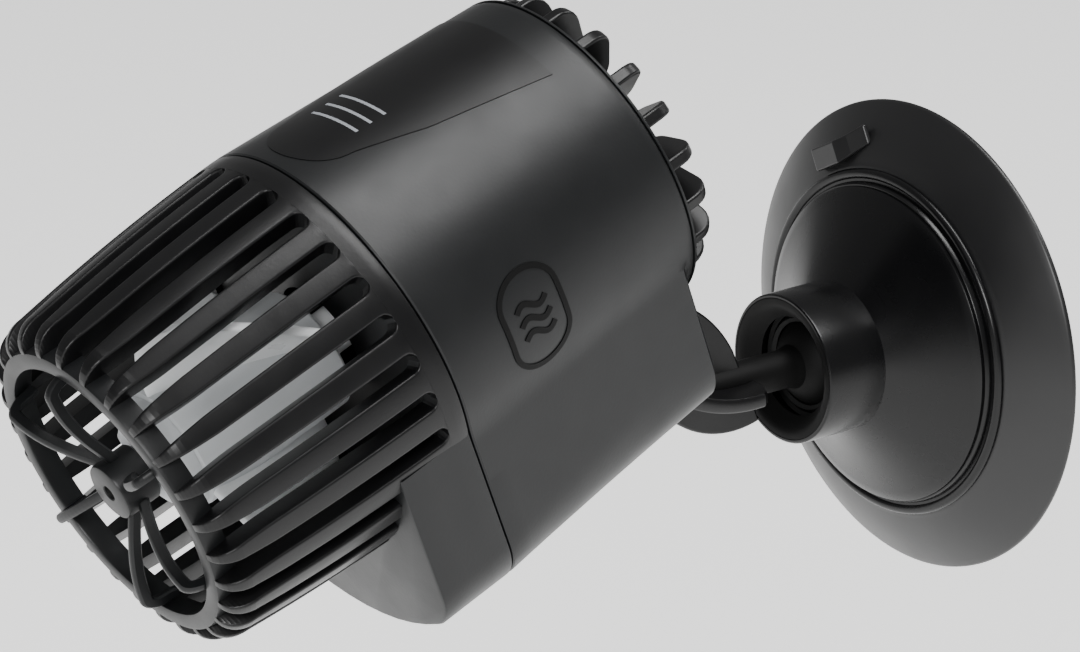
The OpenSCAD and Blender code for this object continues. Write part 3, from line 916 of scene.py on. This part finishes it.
class PUMP_OT_stem(bpy.types.Operator):
    """Builds the ribbed elbow, the neck and the ball"""

    bl_idname = "pump.stem"
    bl_label = "Swivel stem"

    def execute(self, context):
        black = finish_named("guard")

        def arc(cy, cz, radius, start, stop, steps):
            turns = [math.radians(start + (stop - start) * i / steps) for i in range(steps + 1)]
            return [(cy + radius * math.cos(t), cz + radius * math.sin(t)) for t in turns]

        outline = arc(60.5, -41.3, 17.6, 146.6, 133.3, 4) + arc(36, -47.5, 22.7, 56.8, 5.3, 16)[1:]
        outline += arc(60.5, -41.3, 17.6, -96.2, -176.1, 20) + [(45.82, -42.52)]
        bm = bmesh.new()
        sweep(bm, [[Vector((x, y, z)) for y, z in outline] for x in (-1.3, 1.3)])
        stood_for = ["swivel_stem"]
        part("stem_upright_rib", bm, PUMP, "pump", black, stood_for, crease=35, bevel=0.4)

        bm = bmesh.new()
        sections = []
        for step in range(19):
            t = math.radians(-138.5 + (138.5 - 105.9) * step / 18)
            y = 66 + 27 * math.cos(t)
            # The rib is 16 mm wide, and rounded off at its far end.
            half = min(8.0, math.sqrt(max(1.0, 15.2**2 - (y - 44.5) ** 2)))
            inner, outer = 25.9, 28.1
            places = [(half - 0.3, outer), (half, outer - 0.35), (half, inner + 0.35), (half - 0.3, inner)]
            places += [(0.3 - half, inner), (-half, inner + 0.35), (-half, outer - 0.35), (0.3 - half, outer)]
            sections.append([Vector((x, 66 + r * math.cos(t), -25.9 + r * math.sin(t))) for x, r in places])
        sweep(bm, sections)
        part("stem_cross_rib", bm, PUMP, "pump", black, crease=45)

        bm = bmesh.new()
        box_in(bm, (-9, 45.82, -39), (9, 47.8, -26))
        part("stem_foot", bm, PUMP, "pump", black, bevel=0.5)

        bm = bmesh.new()
        neck = [(0, -43.5), (1.6, -43.4), (2.6, -42.7), (3.0, -41.6), (3.0, -26.3), (3.3, -25.4)]
        turns = [math.radians(t) for t in range(27, 181, 7)]
        ball = [(BALL_RADIUS * math.sin(t), BALL_Y - BALL_RADIUS * math.cos(t)) for t in turns]
        lathe(bm, neck + ball + [(0, BALL_Y + BALL_RADIUS)], steps=64)
        # The neck and ball get the near-black dull finish: painted shade inside the socket.
        part("stem_neck_and_ball", bm, WALL, "pump", finish_named("insert"), crease=45)
        return {"FINISHED"}


class PUMP_OT_base(bpy.types.Operator):
    """Builds the suction cup, the hard cone with its boss, and the rings"""

    bl_idname = "pump.base"
    bl_label = "Suction base"

    def execute(self, context):
        gloss = finish_named("base")
        bm = bmesh.new()
        turns = [math.radians(t) for t in range(0, 91, 9)]
        seat = [(9.9 * math.cos(t), BALL_Y + 9.9 * math.sin(t)) for t in turns]
        # The cone flares from its rim to the boss along a curve with one control point.
        flare = []
        for step in range(13):
            s = step / 12
            r = (1 - s) ** 2 * 24.6 + 2 * s * (1 - s) * 17.0 + s * s * 11.7
            y = (1 - s) ** 2 * -8.15 + 2 * s * (1 - s) * -11.7 + s * s * -15.9
            flare.append((r, y))
        outside = [(0, -6.02), (24.55, -6.02), (24.75, -6.2), (24.75, -8.0)] + flare
        outside += [(11.7, -26.2), (11.62, -26.45), (11.4, -26.6), (11.12, -26.6)]
        outside += [(11.12, -22.6), (9.9, -22.6)]
        lathe(bm, outside + seat, steps=160)
        part("base_cone", bm, WALL, "base", gloss, ["suction_base"], crease=32)
        bm = bmesh.new()
        funnel = [(11.08, -22.6), (11.08, -26.5), (10.98, -26.58), (10.4, -26.58), (9.9, -26.45)]
        funnel += [(9.4, -26.1), (8.7, -25.3), (8.1, -24.7), (7.72, -24.3), (8.77, -22.6)]
        lathe(bm, funnel, steps=128, closed=True)
        # The boss's mouth gets the near-black dull finish: painted shade inside the socket.
        dull = finish_named("insert")
        part("boss_insert", bm, WALL, "base", dull, ["clamp_ring"], crease=32)
        bm = bmesh.new()
        bead = [(24.8, -6.05), (27.2, -6.05), (27.3, -6.25), (27.25, -6.55), (26.9, -6.9), (26.4, -7.0)]
        bead += [(26.0, -6.9), (25.75, -6.62), (25.35, -6.62), (25.15, -7.4), (25.0, -7.58), (24.8, -7.6)]
        lathe(bm, bead, steps=160, closed=True)
        part("cup_bead", bm, WALL, "base", gloss, ["cup_ring"], crease=40)

        bm = bmesh.new()
        hollow = [(0, -4.7), (8, -4.68), (16, -4.55), (20, -4.35), (24, -4.0), (27, -3.4), (30, -2.6)]
        hollow += [(32.6, -1.35), (34.8, -0.05)]
        edge = [(35.1, 0), (36.85, 0), (36.97, -0.12), (37.0, -0.3), (36.95, -0.62), (36.7, -0.85)]
        edge += [(35.9, -1.42)]
        back = [(34.4, -2.42), (32.8, -3.38), (31, -4.34), (29.3, -5.14), (28.3, -5.56), (27.7, -5.8)]
        back += [(27.4, -5.98), (20, -6.0), (0, -6.0)]
        lathe(bm, hollow + edge + back, steps=192)
        part("cup_skin", bm, WALL, "base", finish_named("cup"), ["suction_cup"], crease=50)
        bm = bmesh.new()
        # The pull tab: a low block that falls away to the cup's skin at one end.
        wedge = [(28.3, 31.9, 3.2, -7.0), (28.3, 31.9, -2.6, -7.0), (28.9, 32.2, -5.0, -5.9)]
        wedge += [(29.6, 32.8, -8.4, -4.7)]
        cos, sin = math.cos(math.radians(118)), math.sin(math.radians(118))
        sections = []
        for low, high, along, top in wedge:
            square = [(low, -3.9), (high, -3.9), (high, top), (low, top)]
            sections.append([Vector((r * cos - along * sin, y, r * sin + along * cos)) for r, y in square])
        sweep(bm, sections)
        part("cup_tab", bm, WALL, "base", finish_named("cup"), crease=35, bevel=0.35)
        return {"FINISHED"}


class PUMP_PT_panel(bpy.types.Panel):
    """Lists the pump's sizes, colours and build steps"""

    bl_idname = "PUMP_PT_panel"
    bl_label = "Wave Pump"
    bl_space_type = "VIEW_3D"
    bl_region_type = "UI"
    bl_category = "Wave Pump"

    def draw(self, context):
        for group in (context.scene.pump_sizes, context.scene.pump_colours):
            column = self.layout.column()
            for key in group.__annotations__:
                column.prop(group, key)
        for step in STEPS:
            self.layout.operator(step.bl_idname)


STEPS = (
    PUMP_OT_stage,
    PUMP_OT_cad_finishes,
    PUMP_OT_guard,
    PUMP_OT_spider,
    PUMP_OT_propeller,
    PUMP_OT_housing,
    PUMP_OT_marks,
    PUMP_OT_rear,
    PUMP_OT_stem,
    PUMP_OT_base,
)
CLASSES = (PUMP_PG_sizes, PUMP_PG_colours) + STEPS + (PUMP_PT_panel,)


def register():
    for item in CLASSES:
        bpy.utils.register_class(item)
    bpy.types.Scene.pump_sizes = PointerProperty(type=PUMP_PG_sizes)
    bpy.types.Scene.pump_colours = PointerProperty(type=PUMP_PG_colours)


def unregister():
    del bpy.types.Scene.pump_colours
    del bpy.types.Scene.pump_sizes
    for item in reversed(CLASSES):
        bpy.utils.unregister_class(item)


def main():
    register()
    bpy.ops.pump.stage()
    bpy.ops.pump.cad_finishes()
    bpy.ops.pump.guard()
    bpy.ops.pump.spider()
    bpy.ops.pump.propeller()
    bpy.ops.pump.housing()
    bpy.ops.pump.marks()
    bpy.ops.pump.rear()
    bpy.ops.pump.stem()
    bpy.ops.pump.base()


if __name__ == "__main__":
    main()
